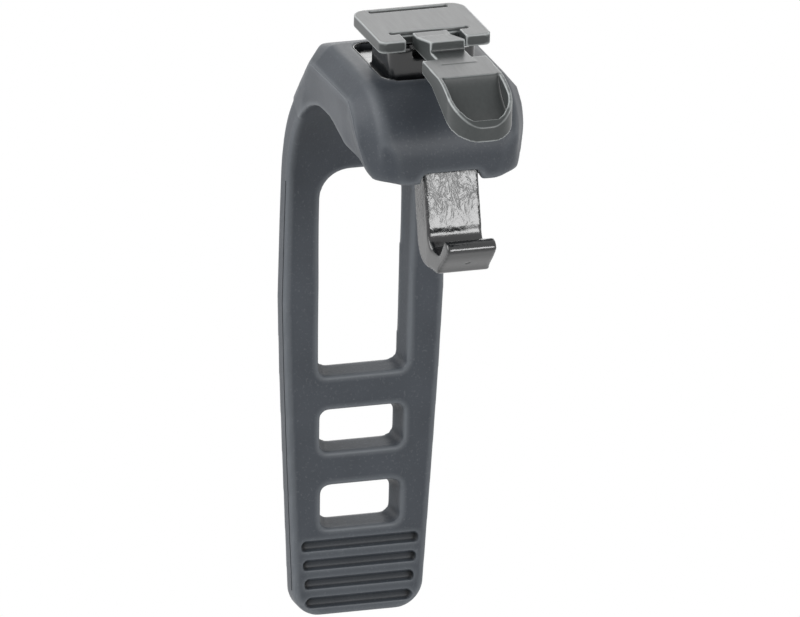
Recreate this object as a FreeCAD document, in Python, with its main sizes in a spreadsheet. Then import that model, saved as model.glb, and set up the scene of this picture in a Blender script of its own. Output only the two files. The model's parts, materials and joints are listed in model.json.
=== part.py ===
"""Handlebar strap mount: a rubber saddle and strap on a hard core with a cleat plate and a latch lever.

Frame: the origin is on the axis of the bar, X runs along the bar, -Y is the side with the hook and
the lever, and +Z is up through the cleat plate. Millimetres and degrees.
"""
import FreeCAD, Part
import Sketcher
import math
import os
import re

SIZES = {
    # rubber strap
    "bar_radius": 15.9,
    "strap_thickness": 3.8,
    "strap_lean": 1.6,
    "strap_drop": 70.0,
    "taper_start": 20.0,
    "tab_width": 19.7,
    "tab_corner": 4.3,
    "wrap_front": 122.0,
    "wrap_rear": 40.0,
    # saddle, widest at its parting line
    "saddle_width": 26.2,
    "strap_inset": 0.8,
    "crown_inset": 2.6,
    "parting_height": 22.0,
    "parting_rear": 5.8,
    "parting_rear_drop": 0.3,
    "parting_front": 12.3,
    "parting_turn": 16.4,
    "parting_turn_height": 17.2,
    "parting_round": 6.5,
    "parting_foot": 18.3,
    "parting_foot_height": 12.6,
    "parting_land": 0.6,
    "crown_height": 25.1,
    "shoulder_round": 2.0,
    "crown_rear": 8.2,
    "crown_rear_drop": 1.5,
    "crown_rear_run": 4.5,
    "nose_radius": 10.1,
    "nose_centre": 11.9,
    "skirt_flare": 0.15,
    "foot_height": 11.5,
    "foot_corner": 6.0,
    # windows, measured down from the axis of the bar
    "window_top": -0.4,
    "window_bottom": 32.2,
    "window_width_top": 14.5,
    "window_width_bottom": 13.4,
    "window_arch": 4.4,
    "window_corner": 1.4,
    "slot_one_top": 37.3,
    "slot_one_height": 6.9,
    "slot_one_width": 12.7,
    "slot_two_top": 49.2,
    "slot_two_height": 7.1,
    "slot_two_width": 12.2,
    "front_edge": 0.8,
    "rear_edge": 0.6,
    # grip grooves on the pull tab
    "grip_top": 58.0,
    "grip_height": 1.5,
    "grip_pitch": 3.0,
    "grip_width": 17.8,
    "grip_step": 0.5,
    "grip_round": 0.6,
    "grip_depth": 0.7,
    # aperture in the crown
    "aperture_front": 13.2,
    "aperture_rear": 3.2,
    "aperture_width": 15.2,
    "aperture_corner": 2.2,
    "flange_gap": 0.45,
    # core
    "flange_sink": 0.9,
    "flange_thickness": 2.0,
    "pedestal_front": 12.5,
    "pedestal_rear": 3.0,
    "pedestal_width": 13.4,
    "pedestal_corner": 1.2,
    "relief_depth": 1.5,
    "relief_side": 0.5,
    # hook
    "hook_width": 8.5,
    "web_back": 9.5,
    "web_front": 12.6,
    "web_nose_reach": 17.6,
    "web_nose_height": 19.8,
    "notch_height": 13.1,
    "notch_flare": 1.0,
    "shank_back_top": 17.0,
    "shank_back_low": 19.5,
    "shank_back_end": 2.4,
    "shank_front_top": 21.7,
    "shank_front_low": 24.1,
    "heel_radius": 4.2,
    "hook_floor": 0.8,
    "hook_reach": 32.3,
    "lip_slant": 4.0,
    "lip_height": 5.6,
    "lip_round": 1.2,
    "lip_thickness": 1.9,
    "lip_lean": 2.0,
    "lip_width": 7.6,
    "trough_height": 2.6,
    "trough_radius": 2.7,
    # cleat plate
    "plate_top": 31.1,
    "plate_thickness": 1.8,
    "plate_width": 17.3,
    "plate_front": 13.5,
    "plate_depth": 14.2,
    "plate_corner": 1.0,
    "plate_back_corner": 2.2,
    "groove_width": 0.8,
    "groove_depth": 0.45,
    "groove_length": 12.2,
    "groove_front_inset": 3.45,
    "groove_rear_inset": 1.25,
    "notch_width": 9.3,
    # latch tongue and lever, measured forward from the plate's front edge
    "tongue_width": 5.4,
    "tongue_thickness": 2.2,
    "hinge_inset": 3.2,
    "hinge_gap": 0.1,
    "catch_inset": 1.2,
    "catch_reach": 5.15,
    "catch_rise": 1.45,
    "lever_width": 9.9,
    "lever_start": 8.15,
    "lever_flat_end": 15.4,
    "lever_flat_drop": 0.4,
    "lever_reach": 23.9,
    "lever_drop": 5.5,
    "lever_thickness": 2.3,
    "lever_knee": 12.5,
    "lever_tip_corner": 4.3,
    "brow_radius": 12.5,
    "dish_radius": 8.0,
    "dish_rim": 0.6,
    "dish_lip": 0.8,
}
# Widths that follow the saddle's, each set in from its sides
DERIVED = {
    "strap_width": "saddle_width - 2 * strap_inset",
    "crown_width": "saddle_width - 2 * crown_inset",
}
GRIP_COUNT = 4
EDGE_TEST = 0.01

doc = FreeCAD.newDocument("handlebar_strap_mount")


def make_sheet():
    """Write the driving dimensions to a spreadsheet, one alias to a row."""
    table = doc.addObject("Spreadsheet::Sheet", "Sizes")
    contents = {**SIZES, **{alias: f"={text}" for alias, text in DERIVED.items()}}
    for row, (alias, content) in enumerate(contents.items(), start=1):
        table.set(f"A{row}", alias)
        table.set(f"B{row}", str(content))
        table.setAlias(f"B{row}", alias)
    doc.recompute()
    return table


sheet = make_sheet()


def linked(text):
    """Write the sheet's name before each alias of an expression."""
    known = {**SIZES, **DERIVED}
    return re.sub(r"[a-z_]+", lambda word: f"Sizes.{word[0]}" if word[0] in known else word[0], text)


def value(text):
    """The number that an expression over the sheet gives."""
    number = sheet.evalExpression(linked(text))
    return float(getattr(number, "Value", number))


def new_body(label):
    body = doc.addObject("PartDesign::Body", label)
    body.Label = label
    return body


def origin_plane(body, role):
    return next(item for item in body.Origin.OriginFeatures if item.Role == role)


def new_sketch(body, name, plane, height="0", tilt=None):
    """A sketch on one of the body's own planes, raised along its normal and tilted about its x axis."""
    sketch = body.newObject("Sketcher::SketchObject", name)
    sketch.AttachmentSupport = [(origin_plane(body, plane), "")]
    sketch.MapMode = "FlatFace"
    turn = FreeCAD.Rotation(FreeCAD.Vector(1, 0, 0), value(tilt) if tilt else 0)
    sketch.AttachmentOffset = FreeCAD.Placement(FreeCAD.Vector(0, 0, value(height)), turn)
    sketch.setExpression("AttachmentOffset.Base.z", linked(height))
    if tilt:
        sketch.setExpression("AttachmentOffset.Rotation.Angle", linked(tilt))
    return sketch


def bind(sketch, kind, items, text):
    """Add a dimension to a sketch and bind it to an expression."""
    index = sketch.addConstraint(Sketcher.Constraint(kind, *items, value(text)))
    sketch.setExpression(f"Constraints[{index}]", linked(text))


def arc_between(start, end, radius, side):
    """The minor arc from start to end with its centre on the left (side 1) or the right (side -1)."""
    chord = end - start
    left = FreeCAD.Vector(-chord.y, chord.x, 0).normalize()
    rise = math.sqrt(max(radius ** 2 - chord.Length ** 2 / 4, 0))
    centre = (start + end) * 0.5 + left * (side * rise)
    angles = [math.atan2(point.y - centre.y, point.x - centre.x) for point in (start, end)]
    circle = Part.Circle(centre, FreeCAD.Vector(0, 0, 1), radius)
    return Part.ArcOfCircle(circle, *angles[::side])


def outline(sketch, points, arcs=None):
    """A closed outline. Points are pairs of expressions, and arcs gives a stretch's radius and side."""
    arcs = arcs or {}
    places = [FreeCAD.Vector(value(across), value(up), 0) for across, up in points]
    count = len(places)
    edges, first = [], []
    for index, start in enumerate(places):
        end = places[(index + 1) % count]
        if index in arcs:
            radius, side = arcs[index]
            shape = arc_between(start, end, value(radius), side)
        else:
            side = 1
            shape = Part.LineSegment(start, end)
        edges.append(sketch.addGeometry(shape))
        first.append(1 if side > 0 else 2)
    for index in range(count):
        after = (index + 1) % count
        ends = (edges[index], 3 - first[index], edges[after], first[after])
        sketch.addConstraint(Sketcher.Constraint("Coincident", *ends))
    for index, (across, up) in enumerate(points):
        bind(sketch, "DistanceX", (-1, 1, edges[index], first[index]), across)
        bind(sketch, "DistanceY", (-1, 1, edges[index], first[index]), up)
    for index, (radius, side) in arcs.items():
        bind(sketch, "Radius", (edges[index],), radius)


def rounded_frame(sketch, low, high, width_low, width_high, radius_low, radius_high):
    """A four-sided outline about the y axis with rounded corners, its sides straight from low to high."""
    half_low = f"({width_low}) / 2"
    half_high = f"({width_high}) / 2"
    points = [
        (f"{radius_low} - {half_low}", low),
        (f"{half_low} - {radius_low}", low),
        (half_low, f"{low} + {radius_low}"),
        (half_high, f"{high} - {radius_high}"),
        (f"{half_high} - {radius_high}", high),
        (f"{radius_high} - {half_high}", high),
        (f"0 - {half_high}", f"{high} - {radius_high}"),
        (f"0 - {half_low}", f"{low} + {radius_low}"),
    ]
    outline(sketch, points, {1: (radius_low, 1), 3: (radius_high, 1), 5: (radius_high, 1), 7: (radius_low, 1)})


def box_outline(sketch, left, right, low, high):
    outline(sketch, [(left, low), (right, low), (right, high), (left, high)])


def add_feature(body, kind, name, sketch, length=None, symmetric=False, reverse=False):
    """A pad or pocket of a sketch. With no length a pocket runs through everything."""
    before = body.Tip.Shape.Volume if body.Tip else 0
    feature = body.newObject(f"PartDesign::{kind}", name)
    feature.Profile = sketch
    feature.SideType = "Symmetric" if symmetric else "One side"
    feature.Reversed = reverse
    if length:
        feature.Type = "Length"
        feature.setExpression("Length", linked(length))
    else:
        feature.Type = "ThroughAll"
    doc.recompute()
    change = feature.Shape.Volume - before
    if (change <= 0) == (kind == "Pad"):
        raise RuntimeError(f"{name} changed the volume by {change:.3f}")
    return feature


def add_fillet(body, name, radius, wanted):
    """Round the edges of the body's tip that the test picks."""
    base = body.Tip
    picked = [f"Edge{i}" for i, edge in enumerate(base.Shape.Edges, start=1) if wanted(edge)]
    fillet = body.newObject("PartDesign::Fillet", name)
    fillet.Base = (base, picked)
    fillet.Radius = value(radius)
    fillet.setExpression("Radius", linked(radius))
    doc.recompute()
    return fillet


# Shared heights and places, as expressions over the sheet
OUTER = "( bar_radius + strap_thickness )"
FLANGE_TOP = "crown_height - flange_sink"
FLANGE_LOW = "crown_height - flange_sink - flange_thickness"
PLATE_LOW = "plate_top - plate_thickness"
NOSE_FRONT = "0 - nose_centre - nose_radius"
FOOT_FRONT = "0 - nose_centre - nose_radius - skirt_flare"
NOSE_LOW = "crown_height - nose_radius"
HINGE_Y = "hinge_inset - plate_front"
FLANK_SHARE = "( strap_width - crown_width ) / ( saddle_width - crown_width )"


def blended(inner, outer):
    """The place on a straight flank where the strap's width cuts it."""
    return f"( {inner} + ( {outer} - ( {inner} ) ) * {FLANK_SHARE} )"


def make_strap():
    """The rubber moulding before the core is taken out of it."""
    body = new_body("strap_moulding")

    # Underside shared by every section: the arch over the bar, then the flat foot in front of it
    arch_front = ("bar_radius * cos(wrap_front)", "bar_radius * sin(wrap_front)")
    arch_rear = ("bar_radius * cos(wrap_rear)", "bar_radius * sin(wrap_rear)")
    wall_low = (f"{OUTER} * cos(wrap_rear)", f"{OUTER} * sin(wrap_rear)")
    foot = (FOOT_FRONT, "foot_height")

    # Side section: the strap hangs behind, and the side wall ends at the parting line
    inner_start = ("bar_radius * cos(strap_lean)", "0 - bar_radius * sin(strap_lean)")
    outer_start = (f"{OUTER} * cos(strap_lean)", f"0 - {OUTER} * sin(strap_lean)")
    leg = f"( strap_drop - {OUTER} * sin(strap_lean) ) / cos(strap_lean)"
    inner_end, outer_end = [(f"{across} - {leg} * sin(strap_lean)", f"{up} - {leg} * cos(strap_lean)")
                            for across, up in (inner_start, outer_start)]
    parting = [("parting_rear", "parting_height - parting_rear_drop"), ("0 - parting_front", "parting_height"),
               ("0 - parting_turn", "parting_turn_height"), ("0 - parting_foot", "parting_foot_height")]
    side = new_sketch(body, "side_section", "YZ_Plane")
    outline(side, [inner_start, inner_end, outer_end, outer_start, wall_low, *parting, arch_front],
            {3: (f"{OUTER}", 1), 9: ("bar_radius", -1)})
    add_feature(body, "Pad", "side_band", side, "strap_width", symmetric=True)

    # Crown section: flat top with a round nose
    crown_top = [("crown_rear", "crown_height - crown_rear_drop"),
                 ("crown_rear - crown_rear_run", "crown_height"),
                 ("0 - nose_centre", "crown_height"),
                 (NOSE_FRONT, NOSE_LOW)]
    crown_arcs = {3: ("nose_radius", 1), 6: ("bar_radius", -1)}
    crown_ring = [wall_low, *crown_top, foot, arch_front, arch_rear]
    crown = new_sketch(body, "crown_section", "YZ_Plane")
    outline(crown, crown_ring, crown_arcs)
    add_feature(body, "Pad", "crown", crown, "crown_width", symmetric=True)

    # Flank: a drafted facet from the crown's edge down to the parting line, and the draft back in below it
    land_low = "parting_height - parting_rear_drop - parting_land"
    rim_ring = [("parting_rear + parting_land", land_low), parting[0],
                ("crown_rear - crown_rear_run", "parting_height"), *parting[1:],
                ("0 - parting_front", "parting_height - parting_land"), ("parting_rear", land_low)]
    wall_top = [(blended(inner[0], outer[0]), blended(inner[1], outer[1]))
                for inner, outer in zip(crown_top, rim_ring[1:])]
    wall_foot = (blended(foot[0], rim_ring[5][0]), "foot_height")
    wall_ring = [wall_low, *wall_top, wall_foot, arch_front, arch_rear]
    wall_arcs = {3: (blended("nose_radius", "parting_round"), 1), 6: ("bar_radius", -1)}
    edge = new_sketch(body, "flank_top", "YZ_Plane", "crown_width / 2")
    outline(edge, crown_ring, crown_arcs)
    wall = new_sketch(body, "flank_wall", "YZ_Plane", "strap_width / 2")
    outline(wall, wall_ring, wall_arcs)
    rim = new_sketch(body, "flank_rim", "YZ_Plane", "saddle_width / 2")
    outline(rim, rim_ring, {3: ("parting_round", 1)})
    facet = body.newObject("PartDesign::AdditiveLoft", "flank")
    facet.Profile = edge
    facet.Sections = [wall, rim]
    facet.Ruled = True
    doc.recompute()
    both = body.newObject("PartDesign::Mirrored", "flanks")
    both.Originals = [facet]
    both.MirrorPlane = (origin_plane(body, "YZ_Plane"), [""])
    body.Tip = both
    doc.recompute()

    # Front corners of the foot, rounded in plan
    corners = new_sketch(body, "foot_corners", "XY_Plane")
    half = "saddle_width / 2"
    for sign in (1, -1):
        turn = "0 - " if sign < 0 else ""
        outline(corners, [(f"{turn}( {half} )", f"{FOOT_FRONT} + foot_corner"),
                          (f"{turn}( {half} - foot_corner )", FOOT_FRONT),
                          (f"{turn}( {half} - foot_corner )", f"{FOOT_FRONT} - foot_corner"),
                          (f"{turn}( {half} + foot_corner )", f"{FOOT_FRONT} - foot_corner"),
                          (f"{turn}( {half} + foot_corner )", f"{FOOT_FRONT} + foot_corner")],
                {0: ("foot_corner", -sign)})
    add_feature(body, "Pocket", "foot_rounds", corners, symmetric=True)

    # Taper of the strap towards the tab, drawn as the windows and grips are on the leaning front face
    face = "0 - bar_radius / cos(strap_lean)"
    tilt = "0 - strap_lean"
    taper = new_sketch(body, "strap_taper", "XZ_Plane", face, tilt)
    for turn in ("", "0 - "):
        outline(taper, [(f"{turn}( strap_width / 2 )", "0 - taper_start"),
                        (f"{turn}( tab_width / 2 )", "0 - strap_drop"),
                        (f"{turn}( tab_width / 2 )", "0 - strap_drop - tab_corner"),
                        (f"{turn}( strap_width )", "0 - strap_drop - tab_corner"),
                        (f"{turn}( strap_width )", "0 - taper_start")])
    add_feature(body, "Pocket", "taper", taper, symmetric=True)

    # Windows through the strap
    windows = new_sketch(body, "window_outlines", "XZ_Plane", face, tilt)
    rounded_frame(windows, "0 - window_bottom", "0 - window_top", "window_width_bottom", "window_width_top",
                  "window_corner", "window_arch")
    for slot in ("slot_one", "slot_two"):
        rounded_frame(windows, f"0 - {slot}_top - {slot}_height", f"0 - {slot}_top", f"{slot}_width",
                      f"{slot}_width", "window_corner", "window_corner")
    add_feature(body, "Pocket", "windows", windows, symmetric=True)
    tab_end = value("strap_thickness * sin(strap_lean) - strap_drop")
    add_fillet(body, "tab_corners", "tab_corner",
               lambda edge: edge.BoundBox.ZMax < tab_end + EDGE_TEST and edge.BoundBox.XLength < EDGE_TEST)

    # Rounded edges of the strap and of its windows, on the two leaning faces below the arch
    lean = math.radians(value("strap_lean"))
    across = FreeCAD.Vector(0, math.cos(lean), -math.sin(lean))

    def on_face(edge, reach):
        return all(abs(end.Point.dot(across) - value(reach)) < EDGE_TEST for end in edge.Vertexes)

    add_fillet(body, "front_edges", "front_edge", lambda edge: on_face(edge, "bar_radius"))
    add_fillet(body, "rear_edges", "rear_edge", lambda edge: on_face(edge, OUTER))

    # Rounded shoulders, where the crown turns into the flanks in front of its rear end
    shoulder = value("crown_width / 2")
    rear_end = value("crown_rear")
    turn_height = value("parting_turn_height")
    add_fillet(body, "shoulders", "shoulder_round",
               lambda edge: edge.BoundBox.XLength < EDGE_TEST and edge.BoundBox.ZMax > turn_height
               and edge.BoundBox.YMax < rear_end + EDGE_TEST
               and abs(abs(edge.BoundBox.XMin) - shoulder) < EDGE_TEST)

    # Grip grooves across the tab
    grips = new_sketch(body, "grip_outlines", "XZ_Plane", face, tilt)
    for index in range(GRIP_COUNT):
        top = f"0 - grip_top - {index} * grip_pitch"
        width = f"( grip_width - {index} * grip_step )"
        rounded_frame(grips, f"{top} - grip_height", top, width, width, "grip_round", "grip_round")
    add_feature(body, "Pocket", "grips", grips, "grip_depth")

    # Aperture in the crown, down to the underside of the core's flange
    aperture = new_sketch(body, "aperture_outline", "XY_Plane", FLANGE_LOW)
    rounded_frame(aperture, "0 - aperture_front", "aperture_rear", "aperture_width", "aperture_width",
                  "aperture_corner", "aperture_corner")
    add_feature(body, "Pocket", "aperture", aperture, reverse=True)

    # Notch round the hook in the front edge of the foot
    notch = new_sketch(body, "notch_outline", "XZ_Plane", "shank_back_top")
    outline(notch, [("hook_width / 2", "notch_height"), ("0 - hook_width / 2", "notch_height"),
                    ("0 - hook_width / 2 - notch_flare", "foot_height - notch_flare"),
                    ("hook_width / 2 + notch_flare", "foot_height - notch_flare")])
    add_feature(body, "Pocket", "notch", notch, reverse=True)
    return body


def make_core():
    """The hard insert: flange, pedestal, web and hook."""
    body = new_body("hook_core")
    hook = new_sketch(body, "hook_section", "YZ_Plane")
    lip_back = "0 - hook_reach + lip_thickness"
    outline(hook, [("0 - web_back", FLANGE_LOW + " + flange_thickness / 2"),
                   ("0 - shank_back_top", "foot_height"),
                   ("0 - shank_back_low", "shank_back_end"),
                   ("0 - shank_back_low - heel_radius", "0 - hook_floor"),
                   ("0 - hook_reach + lip_slant", "0 - hook_floor"),
                   ("0 - hook_reach", "lip_height - lip_round"),
                   ("0 - hook_reach + lip_round", "lip_height"),
                   (lip_back, "lip_height"),
                   (lip_back + " + lip_lean", "trough_height"),
                   ("0 - shank_front_low - trough_radius", "trough_height"),
                   ("0 - shank_front_low", "trough_height + trough_radius"),
                   ("0 - shank_front_top", "notch_height"),
                   ("0 - web_nose_reach", "web_nose_height"),
                   ("0 - web_front", FLANGE_LOW + " + flange_thickness / 2")],
            {2: ("heel_radius", -1), 5: ("lip_round", -1), 9: ("trough_radius", 1)})
    add_feature(body, "Pad", "hook", hook, "hook_width", symmetric=True)

    # The lip is narrower than the shank
    sides = new_sketch(body, "lip_sides", "XY_Plane")
    for turn in ("", "0 - "):
        outline(sides, [(f"{turn}( hook_width / 2 )", "0 - shank_front_low"),
                        (f"{turn}( lip_width / 2 )", "0 - hook_reach"),
                        (f"{turn}( lip_width / 2 )", "0 - hook_reach - lip_round"),
                        (f"{turn}( hook_width )", "0 - hook_reach - lip_round"),
                        (f"{turn}( hook_width )", "0 - shank_front_low")])
    add_feature(body, "Pocket", "lip_taper", sides, symmetric=True)

    flange = new_sketch(body, "flange_outline", "XY_Plane", FLANGE_LOW)
    rounded_frame(flange, "flange_gap - aperture_front", "aperture_rear - flange_gap",
                  "aperture_width - 2 * flange_gap", "aperture_width - 2 * flange_gap",
                  "( aperture_corner - flange_gap )", "( aperture_corner - flange_gap )")
    add_feature(body, "Pad", "flange", flange, "flange_thickness")

    pedestal = new_sketch(body, "pedestal_outline", "XY_Plane", FLANGE_TOP)
    rounded_frame(pedestal, "0 - pedestal_front", "0 - pedestal_rear", "pedestal_width", "pedestal_width",
                  "pedestal_corner", "pedestal_corner")
    add_feature(body, "Pad", "pedestal", pedestal, PLATE_LOW + " - crown_height + flange_sink")

    # Relief under the latch tongue
    relief = new_sketch(body, "relief_outline", "XY_Plane", PLATE_LOW)
    box_outline(relief, "0 - tongue_width / 2 - relief_side", "tongue_width / 2 + relief_side",
                "0 - pedestal_front - relief_side", HINGE_Y + " + relief_side")
    add_feature(body, "Pocket", "relief", relief, "relief_depth")
    return body


def make_plate():
    """The cleat plate with its two grooves and the opening for the latch tongue."""
    body = new_body("cleat_plate")
    rear = "plate_depth - plate_front"
    blank = new_sketch(body, "plate_outline", "XY_Plane", PLATE_LOW)
    rounded_frame(blank, "0 - plate_front", rear, "plate_width", "plate_width", "plate_corner",
                  "plate_back_corner")
    add_feature(body, "Pad", "plate", blank, "plate_thickness")

    opening = new_sketch(body, "opening_outline", "XY_Plane", "plate_top")
    box_outline(opening, "0 - notch_width / 2", "notch_width / 2", "0 - plate_front - plate_corner",
                HINGE_Y + " + hinge_gap")
    add_feature(body, "Pocket", "opening", opening)

    grooves = new_sketch(body, "groove_outlines", "XY_Plane", "plate_top")
    for middle in ("groove_front_inset - plate_front", rear + " - groove_rear_inset"):
        rounded_frame(grooves, f"{middle} - groove_width / 2", f"{middle} + groove_width / 2", "groove_length",
                      "groove_length", "groove_width / 4", "groove_width / 4")
    add_feature(body, "Pocket", "grooves", grooves, "groove_depth")
    return body


def make_lever():
    """The latch tongue with its catch, and the thumb lever in front of it."""
    body = new_body("lever_blank")
    edge = "0 - plate_front"
    low = "plate_top - tongue_thickness"
    back = "plate_top - lever_flat_drop / 2"
    tongue = new_sketch(body, "tongue_section", "YZ_Plane")
    outline(tongue, [(HINGE_Y + " - hinge_gap", low), (HINGE_Y + " - hinge_gap", "plate_top"),
                     (edge + " + catch_inset", "plate_top"),
                     (edge + " - catch_reach", "plate_top + catch_rise"),
                     (edge + " - catch_reach", back),
                     (edge + " - lever_start - lever_thickness", back),
                     (edge + " - lever_start - lever_thickness", low)])
    add_feature(body, "Pad", "tongue", tongue, "tongue_width", symmetric=True)

    # Side view: flat at the back, then a brow that rolls over and falls to the tip
    flat = "plate_top - lever_flat_drop"
    tip = "plate_top - lever_drop"
    lever = new_sketch(body, "lever_section", "YZ_Plane")
    outline(lever, [(edge + " - lever_start", back), (edge + " - lever_flat_end", flat),
                    (edge + " - lever_reach", tip), (edge + " - lever_reach", tip + " - lever_thickness"),
                    (edge + " - lever_knee", flat + " - lever_thickness"), (edge + " - lever_start", low)],
            {1: ("brow_radius", 1)})
    add_feature(body, "Pad", "lever", lever, "lever_width", symmetric=True)
    front = value(edge + " - lever_reach")
    add_fillet(body, "lever_tip", "lever_tip_corner",
               lambda line: line.BoundBox.YMax < front + EDGE_TEST and line.BoundBox.XLength < EDGE_TEST)

    # The thumb dish: its floor in side view, inside its outline in plan
    floor = new_body("dish_floor")
    section = new_sketch(floor, "floor_section", "YZ_Plane")
    lip = edge + " - lever_reach + dish_lip"
    outline(section, [(edge + " - lever_flat_end", flat), (lip, tip), (lip, flat + " + lever_drop"),
                      (edge + " - lever_flat_end", flat + " + lever_drop")], {0: ("dish_radius", -1)})
    add_feature(floor, "Pad", "floor_block", section, "lever_width", symmetric=True)
    bowl = new_body("dish_outline")
    plan = new_sketch(bowl, "plan_outline", "XY_Plane", tip + " - lever_drop")
    inner = "( lever_width - 2 * dish_rim )"
    corner = "( lever_tip_corner - dish_rim )"
    rounded_frame(plan, edge + " - lever_reach + dish_rim", edge + " - lever_start + lever_tip_corner",
                  inner, inner, corner, corner)
    add_feature(bowl, "Pad", "plan_block", plan, "3 * lever_drop")
    dish = doc.addObject("Part::Common", "thumb_dish")
    dish.Base, dish.Tool = floor, bowl
    made = doc.addObject("Part::Cut", "release_lever")
    made.Label = "release_lever"
    made.Base, made.Tool = body, dish
    return made


def write_parts(pieces):
    """Check every object and shape, then write one STEP file for each piece."""
    doc.recompute()
    for item in doc.Objects:
        if "Invalid" in item.State or "Error" in item.State:
            raise RuntimeError(f"{item.Label} failed: {item.State}")
    for piece in pieces:
        if piece.Shape.isNull() or not piece.Shape.isValid():
            raise RuntimeError(f"{piece.Label} has no valid shape")
    os.makedirs("parts", exist_ok=True)
    for piece in pieces:
        piece.Shape.exportStep(f"parts/{piece.Label}.step")
        box = piece.Shape.optimalBoundingBox()
        print(f"{piece.Label}: {len(piece.Shape.Solids)} solid, {piece.Shape.Volume:.1f} mm3, "
              f"x {box.XMin:.2f} to {box.XMax:.2f}, y {box.YMin:.2f} to {box.YMax:.2f}, "
              f"z {box.ZMin:.2f} to {box.ZMax:.2f}")


core = make_core()
strap = doc.addObject("Part::Cut", "rubber_strap")
strap.Label = "rubber_strap"
strap.Base = make_strap()
strap.Tool = core
write_parts([strap, core, make_plate(), make_lever()])
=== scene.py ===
# %% [markdown]
# # Handlebar strap mount
# A rubber saddle sits on a round handlebar. Its strap is pulled under the bar and hooked on a hard
# plastic hook, and a cleat plate with a sprung latch lever holds a small accessory on top.
# The imported CAD solids are the fixed frame, in metres, so each piece made here starts from its solid
# and stays in its place. The box round the solids is kept and printed.

# %% Load the frame
import json

import bpy
import bmesh
import numpy as np
from mathutils import Matrix, Vector


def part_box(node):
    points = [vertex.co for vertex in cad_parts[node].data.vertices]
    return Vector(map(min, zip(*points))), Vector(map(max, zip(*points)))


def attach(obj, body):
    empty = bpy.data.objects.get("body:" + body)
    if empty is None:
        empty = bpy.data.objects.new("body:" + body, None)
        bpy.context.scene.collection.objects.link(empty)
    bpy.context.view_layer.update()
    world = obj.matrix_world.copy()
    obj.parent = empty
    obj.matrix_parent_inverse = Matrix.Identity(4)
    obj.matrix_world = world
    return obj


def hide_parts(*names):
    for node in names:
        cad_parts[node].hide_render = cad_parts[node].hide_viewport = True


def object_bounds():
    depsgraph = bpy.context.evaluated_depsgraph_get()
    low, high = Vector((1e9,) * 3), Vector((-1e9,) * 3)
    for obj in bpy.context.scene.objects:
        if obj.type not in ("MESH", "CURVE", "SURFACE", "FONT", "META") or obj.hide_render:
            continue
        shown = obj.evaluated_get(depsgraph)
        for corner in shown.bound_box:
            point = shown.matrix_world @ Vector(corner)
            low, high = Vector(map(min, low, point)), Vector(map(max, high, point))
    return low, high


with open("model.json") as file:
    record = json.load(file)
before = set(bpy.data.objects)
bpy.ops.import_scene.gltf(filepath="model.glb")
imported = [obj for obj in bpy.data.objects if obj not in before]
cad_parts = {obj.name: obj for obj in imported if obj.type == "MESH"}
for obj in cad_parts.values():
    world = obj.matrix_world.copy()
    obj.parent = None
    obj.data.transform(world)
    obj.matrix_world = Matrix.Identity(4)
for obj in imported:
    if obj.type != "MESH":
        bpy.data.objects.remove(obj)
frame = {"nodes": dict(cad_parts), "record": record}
cad_box = [list(corner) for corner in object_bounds()]
MM = 0.001


def in_mm(box):
    """The two corners of a box in millimetres, for printing."""
    return [[round(value / MM, 2) for value in corner] for corner in box]


print("CAD box in mm:", in_mm(cad_box))

# %% [markdown]
# ## The camera
# The photograph looks at the mount from its front left and from above, from far off: lines that are
# parallel on the mount stay parallel in the picture. A very long lens at almost four metres gives
# that. The three directions below were solved from points of the mount that can be told in the photo,
# and the scale is how many pixels of the 800 x 617 frame one millimetre of the mount takes.

# %% Camera
FRAME_WIDTH, SENSOR = 800, 36.0
SCALE, DISTANCE = 6.75, 3.95
CLIP_NEAR, CLIP_FAR = 0.1, 12.0
right = Vector((0.94684, -0.32055, 0.02714))
up = Vector((0.08853, 0.34075, 0.93598))
back = Vector((-0.30928, -0.88382, 0.35102))
target = Vector((0.3, 0.06, -16.35)) * MM
lens = bpy.data.cameras.new("photo_camera")
lens.sensor_width = SENSOR
lens.lens = SCALE / MM * DISTANCE * SENSOR / FRAME_WIDTH
lens.clip_start, lens.clip_end = CLIP_NEAR, CLIP_FAR
camera = bpy.data.objects.new("photo_camera", lens)
bpy.context.collection.objects.link(camera)
camera.matrix_world = (Matrix.Translation(target + back * DISTANCE)
                       @ Matrix((right, up, back)).transposed().to_4x4())
bpy.context.scene.camera = camera
print(f"lens {lens.lens:.0f} mm at {DISTANCE} m")

# %% [markdown]
# ## The windows of the strap
# The windows are the one crisp thing on the strap: the shut-off faces of the two mould halves meet in
# them, with a little draft, so each opening is smaller at the back. They could be cut by booleans,
# but a flat curve that has the outlines as its holes fills itself. It gives a panel of the strap's
# thickness, whose back edges are drawn in for the draft, and which is laid in the leaning strap.
# The panel stays a hair inside the strap's faces, and its openings a twentieth of a millimetre inside
# the solid's, because faces that coincide would make the skin that is laid over them bumpy.

# %% Outlines of the windows
LEAN, CORNER_STEPS = np.radians(1.6), 7
# In mm: top, bottom, width at the top and the bottom, corner radius at the top and the bottom.
PANEL = (1.9, -57.4, 22.0, 18.4, 1.0, 1.0)
WINDOWS = ((0.35, -32.15, 14.4, 13.3, 4.35, 1.35),
           (-37.35, -44.15, 12.6, 12.6, 1.35, 1.35),
           (-49.25, -56.25, 12.1, 12.1, 1.35, 1.35))


def ring(top, bottom, width_top, width_bottom, radius_top, radius_bottom):
    """Points round an opening with rounded corners, across the strap and along it."""
    corners = ((width_bottom / 2, bottom, -radius_bottom), (width_top / 2, top, radius_top),
               (-width_top / 2, top, radius_top), (-width_bottom / 2, bottom, -radius_bottom))
    points = []
    for turn, (half, edge, radius) in enumerate(corners):
        across, height = half - np.sign(half) * abs(radius), edge - radius
        for angle in np.radians(np.linspace(90 * turn - 90, 90 * turn, CORNER_STEPS)):
            points.append((across + abs(radius) * np.cos(angle),
                           height + abs(radius) * np.sin(angle)))
    return np.array(points) * MM


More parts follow.
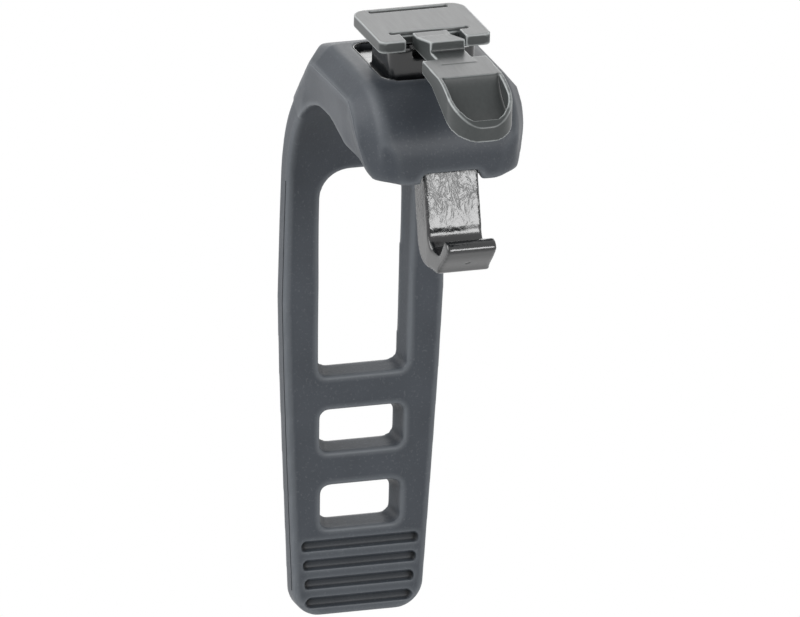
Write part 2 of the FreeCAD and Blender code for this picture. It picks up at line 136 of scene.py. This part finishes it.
outlines = [ring(*sizes) for sizes in (PANEL, *WINDOWS)]
print("window outlines:", [len(points) for points in outlines], "points")

# %% Window panel
PANEL_INSET = 0.02 * MM
# The first mount of the part's record is the handlebar, with its radius.
bar_radius = frame["record"]["mounts"][0]["dims"]["r_mm"] * MM
strap_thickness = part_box("rubber_strap")[1].y - bar_radius
filled = bpy.data.curves.new("window_panel", "CURVE")
filled.dimensions, filled.fill_mode = "2D", "BOTH"
filled.extrude = strap_thickness / 2 - PANEL_INSET
for points in outlines:
    line = filled.splines.new("POLY")
    line.points.add(len(points) - 1)
    line.points.foreach_set("co", [n for across, height in points for n in (across, height, 0, 1)])
    line.use_cyclic_u = True
panel = bpy.data.objects.new("window_panel", filled)
bpy.context.collection.objects.link(panel)
graph = bpy.context.evaluated_depsgraph_get()
flat = bpy.data.meshes.new_from_object(panel.evaluated_get(graph))
bpy.data.objects.remove(panel)
print(f"window panel: {len(flat.polygons)} faces, {strap_thickness / MM:.2f} mm thick")

# %% Draft and lean of the panel
DRAFT = 0.75 * MM
drawn_in = 0
for point in flat.vertices:
    for top, bottom, width, *_ in WINDOWS:
        middle = Vector((0, (top + bottom) / 2 * MM))
        in_height = bottom * MM - DRAFT < point.co.y < top * MM + DRAFT
        in_width = abs(point.co.x) < width / 2 * MM + DRAFT
        if in_height and in_width and point.co.z < 0:
            drawn_in += 1
            for axis in (0, 1):
                point.co[axis] -= np.sign(point.co[axis] - middle[axis]) * DRAFT
sine, cosine = np.sin(LEAN), np.cos(LEAN)
leaning = Matrix(((1, 0, 0), (0, sine, -cosine), (0, cosine, sine))).to_4x4()
front = Vector((0, bar_radius / cosine, 0))
depth = Vector((0, cosine, -sine)) * strap_thickness / 2
flat.transform(Matrix.Translation(front + depth) @ leaning)
print(f"window panel: {drawn_in} points drawn in by {DRAFT / MM:.2f} mm")

# %% [markdown]
# ## Working copies of the solids
# A imported solid is a mesh of loose triangles, and it stays as it is. A copy with its doubled corners
# merged is a proper surface that modifiers can work on. Modifiers are settled into a plain mesh as
# soon as they have done their work.

# %% Copy and settle
MERGE = 0.002 * MM


def copy_solid(node, name):
    """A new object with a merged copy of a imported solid's mesh."""
    work = bmesh.new()
    work.from_mesh(frame["nodes"][node].data)
    bmesh.ops.remove_doubles(work, verts=work.verts, dist=MERGE)
    mesh = bpy.data.meshes.new(name)
    work.to_mesh(mesh)
    work.free()
    piece = bpy.data.objects.new(name, mesh)
    bpy.context.collection.objects.link(piece)
    return piece


def settle(piece):
    """Turn a piece's modifiers into its plain mesh."""
    graph = bpy.context.evaluated_depsgraph_get()
    mesh = bpy.data.meshes.new_from_object(piece.evaluated_get(graph))
    piece.modifiers.clear()
    piece.data = mesh
    mesh.name = piece.name
    box = [[pick(v.co[axis] for v in mesh.vertices) for axis in range(3)] for pick in (min, max)]
    print(f"{piece.name}: {len(mesh.polygons)} faces, box in mm: {in_mm(box)}")


# %% [markdown]
# ## The rubber saddle and strap
# The strap is one moulding of soft rubber. Rubber has no sharp edge anywhere: the tool's corners are
# rounded, and what is not rounded there relaxes when the part is pulled out of the mould. Bevelling
# each edge would keep the faces between them dead flat. Instead an even skin of small quads is laid
# over the solid and the window panel together by a voxel remesh and relaxed a little. That rounds
# every edge by about half a millimetre, the rim of the aperture and the lips of the grip grooves
# among them. The strap is turned upright meanwhile, because faces along the grid come out clean.

# %% Strap skin
SKIN_STEP, SKIN_ROUNDS, RELAX = 0.3 * MM, 2, 0.5


def lay_skin(piece, step, rounds):
    """Lay an even skin of small quads over a piece and relax its edges."""
    skin = piece.modifiers.new("even_skin", "REMESH")
    skin.mode, skin.voxel_size, skin.use_smooth_shade = "VOXEL", step, True
    relax = piece.modifiers.new("relaxed_edges", "SMOOTH")
    relax.factor, relax.iterations = RELAX, rounds
    settle(piece)


strap = copy_solid("rubber_strap", "strap_skin")
work = bmesh.new()
for mesh in (strap.data, flat):
    work.from_mesh(mesh)
bmesh.ops.remove_doubles(work, verts=work.verts, dist=MERGE)
work.to_mesh(strap.data)
work.free()
upright = Matrix.Rotation(LEAN, 4, "X")
strap.data.transform(upright)
lay_skin(strap, SKIN_STEP, SKIN_ROUNDS)
strap.data.transform(upright.inverted())

# %% [markdown]
# ## Softer forms
# Two places of the moulding are softer than the solid: the lower front edges of the saddle, beside
# the hook, are well rounded and drawn in, and the strap with its windows is a little wider below the
# arch. Sculpting could give that, but not twice alike. Here the points of the skin are moved by
# rules, with weights that fade out so that no crease is left.

# %% Helpers for moving points
def read_points(mesh, name):
    """A property of all points of a mesh, three numbers each."""
    values = np.empty(len(mesh.vertices) * 3, np.float32)
    mesh.vertices.foreach_get(name, values)
    return values.reshape(-1, 3).astype(float)


def write_points(mesh, place):
    """Move all points of a mesh."""
    mesh.vertices.foreach_set("co", place.astype(np.float32).ravel())
    mesh.update()


def neighbour_mean(mesh):
    """A function that gives each point the mean of its neighbours' places."""
    count = len(mesh.vertices)
    ends = np.empty(len(mesh.edges) * 2, np.int32)
    mesh.edges.foreach_get("vertices", ends)
    first, last = ends.reshape(-1, 2).T
    near = np.bincount(ends, minlength=count)
    return lambda place: np.stack([(np.bincount(first, place[last, axis], count)
                                    + np.bincount(last, place[first, axis], count)) / near
                                   for axis in range(3)], axis=1)


def fade(value, start, end):
    """A smooth step from 0 at start to 1 at end."""
    share = np.clip((value - start) / (end - start), 0, 1)
    return share * share * (3 - 2 * share)


# %% Rounded foot of the saddle
FOOT_ROUNDS, FOOT_TUCK = 40, 0.8 * MM
# Where each fade starts and where it is full: outwards from the middle, downwards, and forwards.
FOOT_SIDE, FOOT_HEIGHT, FOOT_DEPTH = (6.5 * MM, 10.5 * MM), (17 * MM, 13 * MM), (-5 * MM, -10 * MM)
TUCK_HEIGHT, TUCK_DEPTH = (20 * MM, 12 * MM), (-8 * MM, -14 * MM)
place, mean = read_points(strap.data, "co"), neighbour_mean(strap.data)
weight = fade(place[:, 2], *FOOT_HEIGHT) * fade(abs(place[:, 0]), *FOOT_SIDE)
weight *= fade(place[:, 1], *FOOT_DEPTH)
for _ in range(FOOT_ROUNDS):
    place += RELAX * weight[:, None] * (mean(place) - place)
tuck = fade(place[:, 2], *TUCK_HEIGHT) * fade(place[:, 1], *TUCK_DEPTH)
beside = fade(abs(place[:, 0]), *FOOT_SIDE)
place[:, 0] -= np.sign(place[:, 0]) * FOOT_TUCK * tuck * beside
print(f"{strap.name}: foot rounded over {(weight > 0.5).sum()} points")

# %% Wider strap
BULGE_HEIGHTS = np.array((-70, -58, -45, -32, -20, -8, 4)) * MM
BULGE_SIZES = np.array((0.15, 0.25, 0.35, 0.4, 0.3, 0.2, 0.0)) * MM
BULGE_SIDE, BULGE_DEPTH = (3.5 * MM, 6.0 * MM), (8 * MM, 12 * MM)
bulge = np.interp(place[:, 2], BULGE_HEIGHTS, BULGE_SIZES) * fade(abs(place[:, 0]), *BULGE_SIDE)
place[:, 0] += np.sign(place[:, 0]) * bulge * fade(place[:, 1], *BULGE_DEPTH)
write_points(strap.data, place)
print(f"{strap.name}: sides out by up to {bulge.max() / MM:.2f} mm")

# %% [markdown]
# ## Wear, painted highlight and painted shade
# Handling polishes rubber where it sticks out. Those edges are also painted paler as a painted
# highlight, and where the skin goes in it is painted darker as painted shade. Painting that by
# hand would be slow, and the shape already tells it. How far each point of the skin stands out from
# a smoothed copy of the skin is measured once and kept as an attribute: above a half on edges that
# stick out, below a half in grooves. The materials read it.

# %% Wear and painted shade on the strap
WEAR_AND_SHADE_ROUNDS = 10


def measure_wear_and_shade(piece, step):
    """Keep how far each point stands out from the smoothed skin, in steps, about one half."""
    mesh = piece.data
    place, mean = read_points(mesh, "co"), neighbour_mean(mesh)
    smooth = place
    for _ in range(WEAR_AND_SHADE_ROUNDS):
        smooth = mean(smooth)
    # Above a half marks edges for rubbing and a painted highlight, below a half hollows for painted
    # shade.
    level = 0.5 + 0.5 * (((place - smooth) * read_points(mesh, "normal")).sum(1) / step)
    wear = mesh.attributes.new("wear", "FLOAT", "POINT")
    wear.data.foreach_set("value", np.clip(level, 0, 1).astype(np.float32))
    print(f"{piece.name}: wear from {level.min():.2f} to {level.max():.2f}")


measure_wear_and_shade(strap, SKIN_STEP)

# %% [markdown]
# ## The hard pieces
# Hook, plate and lever are hard plastic from polished tools: flat faces that meet in narrow rounded
# edges, which catch a thin line of light. A bevel would do for straight edges, but its width is held
# to the shortest edge of the mesh, and the solids' fillets are cut into very short ones. The same
# even skin serves better, with a finer step: it rounds the hook's edges by about two thirds of a
# millimetre and those of plate and lever by a quarter. Plate and lever are rubbed by what slides on
# them, and get a painted highlight on their edges and painted shade in their corners, so the same
# measure is kept for them as for the strap.

# %% Hard skins
HOOK_STEP, HOOK_ROUNDS = 0.2 * MM, 18
PLATE_STEP, PLATE_ROUNDS, LEVER_ROUNDS = 0.13 * MM, 4, 5
hook = copy_solid("hook_core", "hook_moulding")
lay_skin(hook, HOOK_STEP, HOOK_ROUNDS)
plate = copy_solid("cleat_plate", "plate_moulding")
lay_skin(plate, PLATE_STEP, PLATE_ROUNDS)
lever = copy_solid("release_lever", "lever_moulding")
lay_skin(lever, PLATE_STEP, LEVER_ROUNDS)
for piece in (plate, lever):
    measure_wear_and_shade(piece, PLATE_STEP)

# %% [markdown]
# ## The hook's sole
# The sole runs up to the hook's lip in a curve, where the solid has a corner. A bend of the whole
# hook would move its shank too, so only the skin's points at the front of the sole are raised.

# %% Curved sole
SOLE_LIFT, SOLE_TOP, SOLE_DEPTH = 0.6 * MM, 3.5 * MM, (-19 * MM, -30 * MM)
place = read_points(hook.data, "co")
lift = fade(place[:, 2], SOLE_TOP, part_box("hook_core")[0].z) * fade(place[:, 1], *SOLE_DEPTH)
place[:, 2] += SOLE_LIFT * lift
write_points(hook.data, place)
print(f"{hook.name}: sole raised by up to {SOLE_LIFT * lift.max() / MM:.2f} mm")

# %% [markdown]
# ## Colours and nodes
# Colours are written as sRGB hex, as a colour picker gives them, and one function turns them into the
# linear values that Blender computes with. One more function adds a node with its settings and
# links. It finds sockets by identifier, because some nodes have several sockets of one name. Three
# short helpers then start a finish, lay tints over its tone, and join it to the shader.

# %% Helpers for colours and nodes
def srgb(code):
    """A colour written as sRGB hex, as linear RGBA."""
    parts = [int(code[i:i + 2], 16) / 255 for i in (1, 3, 5)]
    return (*[p / 12.92 if p <= 0.04045 else ((p + 0.055) / 1.055) ** 2.4 for p in parts], 1.0)


def add_node(tree, kind, inputs=None, **settings):
    """Add one node, set its properties, and set its inputs or link them to a node or a socket."""
    made = tree.nodes.new(kind)
    for name, setting in settings.items():
        setattr(made, name, setting)
    sockets = {socket.identifier: socket for socket in made.inputs}
    for name, given in (inputs or {}).items():
        if isinstance(given, bpy.types.Node):
            given = next(socket for socket in given.outputs if socket.enabled)
        if isinstance(given, bpy.types.NodeSocket):
            tree.links.new(given, sockets[name])
        else:
            sockets[name].default_value = given
    return made


# %% Helpers for finishes
def new_finish(name, **plain):
    """A new material with its plain shader values, its tree, and the place on the piece."""
    made = bpy.data.materials.new(name)
    made.use_nodes = True
    tree = made.node_tree
    for socket, given in plain.items():
        tree.nodes["Principled BSDF"].inputs[socket.replace("_", " ")].default_value = given
    return made, tree, add_node(tree, "ShaderNodeTexCoord").outputs["Object"]


def lay_tints(tree, tone, *tints):
    """Lay colours over a tone, each by a mask that is 0 at its start and its share where full."""
    for mask, start, full, share, colour in tints:
        mask = add_node(tree, "ShaderNodeMapRange", {"Value": mask, "From Min": start,
                                                     "From Max": full, "To Max": share})
        tone = add_node(tree, "ShaderNodeMix", {"Factor_Float": mask, "A_Color": tone,
                                                "B_Color": srgb(colour)}, data_type="RGBA")
    return tone


def join_finish(tree, **made):
    """Link finished colours, values and normals to the shader."""
    shader = tree.nodes["Principled BSDF"]
    for socket, node in made.items():
        given = next(item for item in node.outputs if item.enabled)
        tree.links.new(given, shader.inputs[socket.replace("_", " ")])


# %% [markdown]
# ## Moulded rubber
# The strap is black-grey thermoplastic rubber from a spark-eroded mould. That gives the eye a soft
# matt surface, slightly cloudy in tone, with a fine grain and pale flecks. Its edges are a little
# paler, partly rubbed and partly a painted highlight, and its grooves and corners are painted darker
# as painted shade. Each is a noise or the measure of how far the skin stands out, laid over the tone
# in turn. The true grain is nearer a tenth of a millimetre, too fine to show in this frame, so it is
# drawn three times as coarse.

# %% Rubber
GRAIN, GRAIN_HEIGHT, FLECK, CLOUD = 0.32 * MM, 0.05 * MM, 0.4 * MM, 7 * MM
rubber, tree, place = new_finish("moulded_rubber", IOR=1.5, Specular_IOR_Level=0.2)
wear = add_node(tree, "ShaderNodeAttribute", attribute_name="wear").outputs["Fac"]
cloud = add_node(tree, "ShaderNodeTexNoise", {"Vector": place, "Scale": 1 / CLOUD, "Detail": 3.0})
fleck = add_node(tree, "ShaderNodeTexNoise", {"Vector": place, "Scale": 1 / FLECK, "Detail": 1.0})
tone = add_node(tree, "ShaderNodeMix", {"Factor_Float": cloud, "A_Color": srgb("#33373c"),
                                        "B_Color": srgb("#3f4349")}, data_type="RGBA")
# The tints: pale flecks of the rubber; paler edges, rubbed and with a painted highlight; painted shade
# in grooves and corners.
tone = lay_tints(tree, tone, (fleck, 0.6, 0.8, 0.1, "#8a8d90"), (wear, 0.53, 0.8, 0.45, "#74787c"),
                 (wear, 0.45, 0.1, 0.95, "#08090a"))
rough = add_node(tree, "ShaderNodeMapRange", {"Value": cloud, "To Min": 0.46, "To Max": 0.38})
grain = add_node(tree, "ShaderNodeTexNoise", {"Vector": place, "Scale": 1 / GRAIN, "Detail": 2.0})
relief = add_node(tree, "ShaderNodeBump", {"Height": grain, "Distance": GRAIN_HEIGHT,
                                           "Strength": 0.35})
join_finish(tree, Base_Color=tone, Roughness=rough, Normal=relief)
print("moulded rubber:", len(tree.nodes), "nodes")

# %% [markdown]
# ## Glossy black nylon
# The core with the hook is black nylon filled with glass fibre, moulded against a polished tool. It
# looks black and wet. On the hook's shank the skin has shrunk into long soft wrinkles, which break a
# reflected lamp into silvery streaks. They are too shallow to model, so they are a bump: noise drawn
# out along the flow, 1.6 by 2.6 mm, that fades out below the shank and above it. The small pit on the
# front of the lip is where the plastic was let into the mould.

# %% Nylon
STREAK = (1.6 * MM, 1.6 * MM, 2.6 * MM)
nylon, tree, place = new_finish("glossy_black_nylon", IOR=1.53, Coat_Weight=0.4,
                                Coat_Roughness=0.15)
flow = add_node(tree, "ShaderNodeMapping", {"Vector": place,
                                            "Scale": tuple(1 / size for size in STREAK)})
streak = add_node(tree, "ShaderNodeTexNoise", {"Vector": flow, "Scale": 1.0, "Detail": 3.0,
                                               "Distortion": 1.2})
tone = add_node(tree, "ShaderNodeMix", {"Factor_Float": streak, "A_Color": srgb("#0a0b0c"),
                                        "B_Color": srgb("#1a1c1e")}, data_type="RGBA")
rough = add_node(tree, "ShaderNodeMapRange", {"Value": streak, "To Min": 0.14, "To Max": 0.26})
join_finish(tree, Base_Color=tone, Roughness=rough)
print("glossy nylon:", len(tree.nodes), "nodes for its tone and gloss")

# %% Wrinkles and gate mark
WRINKLE_HEIGHT = 0.5 * MM
SHANK_FOOT, SHANK_LOW, SHANK_HIGH, SHANK_TOP = 4 * MM, 9 * MM, 15 * MM, 20 * MM
GATE_PLACE, GATE_SIZE, GATE_DEPTH = (0.0, -30.3 * MM, 1.8 * MM), 0.55 * MM, 0.25 * MM
GATE_BOTTOM = 0.4 * GATE_SIZE
up_shank = add_node(tree, "ShaderNodeSeparateXYZ", {"Vector": place}).outputs["Z"]
lower = add_node(tree, "ShaderNodeMapRange", {"Value": up_shank, "From Min": SHANK_FOOT,
                                              "From Max": SHANK_LOW, "To Min": 0.05, "To Max": 0.75})
upper = add_node(tree, "ShaderNodeMapRange", {"Value": up_shank, "From Min": SHANK_TOP,
                                              "From Max": SHANK_HIGH, "To Min": 0.1, "To Max": 1.0})
wrinkle = add_node(tree, "ShaderNodeMath", {"Value": lower, "Value_001": upper},
                   operation="MULTIPLY")
relief = add_node(tree, "ShaderNodeBump", {"Height": streak, "Distance": WRINKLE_HEIGHT,
                                           "Strength": wrinkle})
gate = add_node(tree, "ShaderNodeVectorMath", {"Vector": place, "Vector_001": GATE_PLACE},
                operation="DISTANCE")
gate = add_node(tree, "ShaderNodeMapRange", {"Value": gate, "From Min": GATE_BOTTOM,
                                             "From Max": GATE_SIZE})
relief = add_node(tree, "ShaderNodeBump", {"Height": gate, "Normal": relief,
                                           "Distance": GATE_DEPTH})
join_finish(tree, Normal=relief)
print("glossy nylon:", len(tree.nodes), "nodes in all")

# %% [markdown]
# ## Satin grey plastic
# Plate and lever are dark grey acetal, a slippery plastic for parts that slide and flex. Its tool has
# a fine satin blast, so it shines softly at a low angle, and sliding shoes leave faint scuffs along
# the direction of travel. Its edges are painted paler, mostly a painted highlight with a little
# rubbing, and its corners and grooves are painted dark as painted shade. The scuffs are noise drawn
# out along the travel. The true blast is too fine to show in this frame, so it is drawn coarser.

# %% Satin plastic
SATIN, SATIN_HEIGHT, SCUFF = 0.28 * MM, 0.02 * MM, (0.5 * MM, 5.0 * MM, 0.5 * MM)
acetal, tree, place = new_finish("satin_grey_acetal", IOR=1.48, Specular_IOR_Level=0.4)
wear = add_node(tree, "ShaderNodeAttribute", attribute_name="wear").outputs["Fac"]
travel = add_node(tree, "ShaderNodeMapping", {"Vector": place,
                                              "Scale": tuple(1 / size for size in SCUFF)})
scuff = add_node(tree, "ShaderNodeTexNoise", {"Vector": travel, "Scale": 1.0, "Detail": 3.0})
tone = add_node(tree, "ShaderNodeMix", {"Factor_Float": scuff, "A_Color": srgb("#313434"),
                                        "B_Color": srgb("#3d4040")}, data_type="RGBA")
# The tints: a painted highlight on the edges, with a little rubbing; painted shade in corners and
# grooves.
tone = lay_tints(tree, tone, (wear, 0.62, 0.85, 0.75, "#a8acac"), (wear, 0.4, 0.1, 0.9, "#101112"))
rough = add_node(tree, "ShaderNodeMapRange", {"Value": scuff, "To Min": 0.38, "To Max": 0.3})
blast = add_node(tree, "ShaderNodeTexNoise", {"Vector": place, "Scale": 1 / SATIN, "Detail": 1.0})
relief = add_node(tree, "ShaderNodeBump", {"Height": blast, "Distance": SATIN_HEIGHT,
                                           "Strength": 0.3})
join_finish(tree, Base_Color=tone, Roughness=rough, Normal=relief)
print("satin acetal:", len(tree.nodes), "nodes")

# %% [markdown]
# ## Fine lines on the moulding
# Three fine lines lie on the strap's skin. The two halves of the mould meet along the widest line of
# the saddle's flanks, and a little rubber creeps between them: a raised line a fifth of a millimetre
# wide, painted pale as rubbed rubber with a painted highlight. A line painted dark with the painted
# shade of the hollows runs beside the strap's front edge, and a narrow glossy rim of the hard core
# shows round the aperture. They follow paths on a surface, so Geometry Nodes make them: a path that
# is drawn close to the skin is cut into even steps, dropped to the nearest point of the skin, and
# given a round section.

# %% Fine line tree
SECTION_SIDES = 8
fine_line = bpy.data.node_groups.new("fine_line", "GeometryNodeTree")
sockets = {}
for name, kind in (("Path", "Geometry"), ("Skin", "Object"), ("Step", "Float"), ("Radius", "Float"),
                   ("Wear", "Float"), ("Finish", "Material")):
    made = fine_line.interface.new_socket(name, in_out="INPUT", socket_type=f"NodeSocket{kind}")
    sockets[name] = made.identifier
fine_line.interface.new_socket("Line", in_out="OUTPUT", socket_type="NodeSocketGeometry")
given = add_node(fine_line, "NodeGroupInput").outputs
line = add_node(fine_line, "GeometryNodeMeshToCurve", {"Mesh": given["Path"]})
line = add_node(fine_line, "GeometryNodeResampleCurve", {"Curve": line, "Length": given["Step"]},
                mode="LENGTH")
surface = add_node(fine_line, "GeometryNodeObjectInfo", {"Object": given["Skin"]})
nearest = add_node(fine_line, "GeometryNodeProximity", {"Target": surface.outputs["Geometry"]},
                   target_element="FACES")
line = add_node(fine_line, "GeometryNodeSetPosition", {"Geometry": line,
                                                       "Position": nearest.outputs["Position"]})
section = add_node(fine_line, "GeometryNodeCurvePrimitiveCircle", {"Resolution": SECTION_SIDES,
                                                                   "Radius": given["Radius"]})
tube = add_node(fine_line, "GeometryNodeCurveToMesh", {"Curve": line, "Profile Curve": section,
                                                       "Fill Caps": True})
tube = add_node(fine_line, "GeometryNodeStoreNamedAttribute",
                {"Geometry": tube, "Name": "wear", "Value": given["Wear"]},
                data_type="FLOAT", domain="POINT")
tube = add_node(fine_line, "GeometryNodeRealizeInstances", {"Geometry": tube})
tube = add_node(fine_line, "GeometryNodeSetMaterial", {"Geometry": tube,
                                                       "Material": given["Finish"]})
add_node(fine_line, "NodeGroupOutput", {fine_line.interface.items_tree["Line"].identifier: tube})
print("fine line:", len(fine_line.nodes), "nodes")

# %% Parting line and lip line
LINE_STEP, LINE_RADIUS, CLEARANCE = 0.3 * MM, 0.1 * MM, 0.2 * MM
# In mm: how far back and how high the parting line runs on a flank.
PARTING = ((5.6, 21.7), (-4.0, 22.0), (-12.3, 22.0), (-14.6, 20.2), (-16.4, 17.2), (-18.0, 13.4))
LIP, LIP_TOP, LIP_END, LIP_RADIUS = 0.9 * MM, -1 * MM, -66 * MM, 0.8 * LINE_RADIUS


def sweep_line(name, lines, radius, wear_and_shade_level, finish):
    """Sweep a fine round line along paths that lie close to the strap's skin."""
    points, steps = [], []
    for line in lines:
        steps += [(i, i + 1) for i in range(len(points), len(points) + len(line) - 1)]
        points += line
    path = bpy.data.meshes.new(name)
    path.from_pydata(points, steps, [])
    piece = bpy.data.objects.new(name, path)
    bpy.context.collection.objects.link(piece)
    sweep = piece.modifiers.new("fine_line", "NODES")
    sweep.node_group = fine_line
    for socket, setting in (("Skin", strap), ("Step", LINE_STEP), ("Radius", radius),
                            ("Wear", wear_and_shade_level), ("Finish", finish)):
        sweep[sockets[socket]] = setting
    settle(piece)
    return piece


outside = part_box("rubber_strap")[1].x + CLEARANCE
flanks = [[(sign * outside, y * MM, z * MM) for y, z in PARTING] for sign in (-1, 1)]
edges = [[(sign * outside, bar_radius + LIP + z * np.tan(LEAN), z) for z in (LIP_TOP, LIP_END)]
         for sign in (-1, 1)]
# The parting line's high level gives it the pale tint, rubbing and a painted highlight; the lip line's
# low level paints it dark with the painted shade of the hollows.
parting = sweep_line("parting_line", flanks, LINE_RADIUS, wear_and_shade_level=0.85, finish=rubber)
lip_line = sweep_line("strap_lip_line", edges, LIP_RADIUS, wear_and_shade_level=0.25, finish=rubber)

# %% Aperture rim
APERTURE = (3.2, -13.2, 15.2, 15.2, 2.2, 2.2)
RIM_POINTS, RIM_RADIUS, RIM_REACH = 160, 1.2 * LINE_RADIUS, 2 * SKIN_STEP
corners = np.vstack((ring(*APERTURE), ring(*APERTURE)[:1]))
along = np.cumsum(np.hypot(*np.diff(corners, axis=0, prepend=corners[:1]).T))
evenly = np.linspace(0, along[-1], RIM_POINTS)
rim = np.stack([np.interp(evenly, along, corners[:, axis]) for axis in (0, 1)], axis=1)
skin_points = read_points(strap.data, "co")
rim_path = []
for x, y in rim:
    near = np.hypot(*(skin_points[:, :2] - (x, y)).T) < RIM_REACH
    rim_path.append((x, y, skin_points[near, 2].max()))
rim_line = sweep_line("aperture_rim", [rim_path], RIM_RADIUS, wear_and_shade_level=0.5, finish=nylon)

# %% [markdown]
# ## Everything rides on its body
# Each of the four mouldings stands for its imported solid, which is hidden, takes its finish, and
# moves with its body: the lever turns on its spring, and all the rest is the mount. The fine lines
# stand for no solid and ride on the mount as well.

# %% Ride and replace
for piece, node, body, slot, finish in (
        (strap, "rubber_strap", "mount", "rubber", rubber),
        (hook, "hook_core", "mount", "black_nylon", nylon),
        (plate, "cleat_plate", "mount", "grey_plastic", acetal),
        (lever, "release_lever", "lever", "grey_plastic", acetal)):
    piece.data.materials.append(finish)
    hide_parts(node)
    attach(piece, body)
for piece, slot in ((parting, "rubber"), (lip_line, "rubber"), (rim_line, "black_nylon")):
    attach(piece, "mount")
print("pieces:", [piece.name for piece in (strap, hook, plate, lever, parting, lip_line, rim_line)])

# %% [markdown]
# ## The floor
# The photograph is a product shot on white without a shadow in the frame. The floor is a plain pale
# disc, far enough below the mount for its shadow to fall outside the frame. A large sheet would do as
# well, but would hide the mount from below.

# %% Floor
FLOOR_DROP, FLOOR_RADIUS, FLOOR_SIDES, MOTTLE = 140 * MM, 0.3, 96, 60 * MM
ground = bmesh.new()
bmesh.ops.create_circle(ground, cap_ends=True, segments=FLOOR_SIDES, radius=FLOOR_RADIUS,
                        matrix=Matrix.Translation((0, 0, cad_box[0][2] - FLOOR_DROP)))
floor = bpy.data.objects.new("floor", bpy.data.meshes.new("floor"))
ground.to_mesh(floor.data)
ground.free()
bpy.context.collection.objects.link(floor)
pale, tree, place = new_finish("pale_floor", Roughness=0.8)
mottle = add_node(tree, "ShaderNodeTexNoise", {"Vector": place, "Scale": 1 / MOTTLE})
tone = add_node(tree, "ShaderNodeMix", {"Factor_Float": mottle, "A_Color": srgb("#f0f0f0"),
                                        "B_Color": srgb("#f8f8f8")}, data_type="RGBA")
join_finish(tree, Base_Color=tone)
floor.data.materials.append(pale)
print(f"floor: {FLOOR_DROP / MM:.0f} mm below the mount")

# %% [markdown]
# ## Light
# Behind the floor the world is white to the camera and in reflections, and dimmer as a light: bright
# as a wall at the height of the mount, and darker overhead and underneath, which gives the rubber its
# dark hollows. Four soft boxes stand where the photo's bright faces look: a wide one on the left, one
# behind, one in front on the right, which the hook's shank mirrors, and a small one on the right.

# %% World
WALL_LEVEL, CEILING_LEVEL = 0.8, 0.12
WALL_TOP, CEILING_EDGE = 0.35, 0.75
bpy.context.scene.view_settings.view_transform = "Standard"
world = bpy.data.worlds.new("white_studio")
world.use_nodes = True
tree = world.node_tree
rays = add_node(tree, "ShaderNodeLightPath").outputs
way = add_node(tree, "ShaderNodeTexCoord").outputs["Generated"]
way = add_node(tree, "ShaderNodeSeparateXYZ", {"Vector": way})
height = add_node(tree, "ShaderNodeMath", {"Value": way.outputs["Z"]}, operation="ABSOLUTE")
around = add_node(tree, "ShaderNodeMapRange", {"Value": height, "From Min": WALL_TOP,
                                               "From Max": CEILING_EDGE, "To Min": WALL_LEVEL,
                                               "To Max": CEILING_LEVEL})
seen = rays["Is Camera Ray"]
for other in ("Is Glossy Ray", "Is Transmission Ray"):
    seen = add_node(tree, "ShaderNodeMath", {"Value": seen, "Value_001": rays[other]},
                    operation="MAXIMUM")
level = add_node(tree, "ShaderNodeMix", {"Factor_Float": seen, "A_Float": around, "B_Float": 1.0})
tree.nodes["Background"].inputs["Color"].default_value = (1, 1, 1, 1)
tree.links.new(level.outputs["Result"], tree.nodes["Background"].inputs["Strength"])
bpy.context.scene.world = world
print(f"world: {WALL_LEVEL} around the mount, {CEILING_LEVEL} above and below it")

# %% Soft boxes
for name, direction, distance, size, watts in (
        ("left_box", (-0.9, 0.1, 0.65), 1.1, 1.1, 16.0),
        ("back_box", (0.31, 0.88, 0.36), 1.3, 0.7, 3.0),
        ("front_box", (0.31, -0.93, 0.21), 1.2, 0.45, 6.5),
        ("right_box", (1.0, -0.05, 0.05), 1.2, 0.3, 1.6)):
    lamp = bpy.data.lights.new(name, "AREA")
    lamp.energy, lamp.size = watts, size
    box = bpy.data.objects.new(name, lamp)
    away = Vector(direction).normalized()
    aim = away.to_track_quat("Z", "Y").to_matrix().to_4x4()
    box.matrix_world = Matrix.Translation(target + away * distance) @ aim
    bpy.context.collection.objects.link(box)
    print(f"{name}: {watts} W, {size} m wide, {distance} m away")
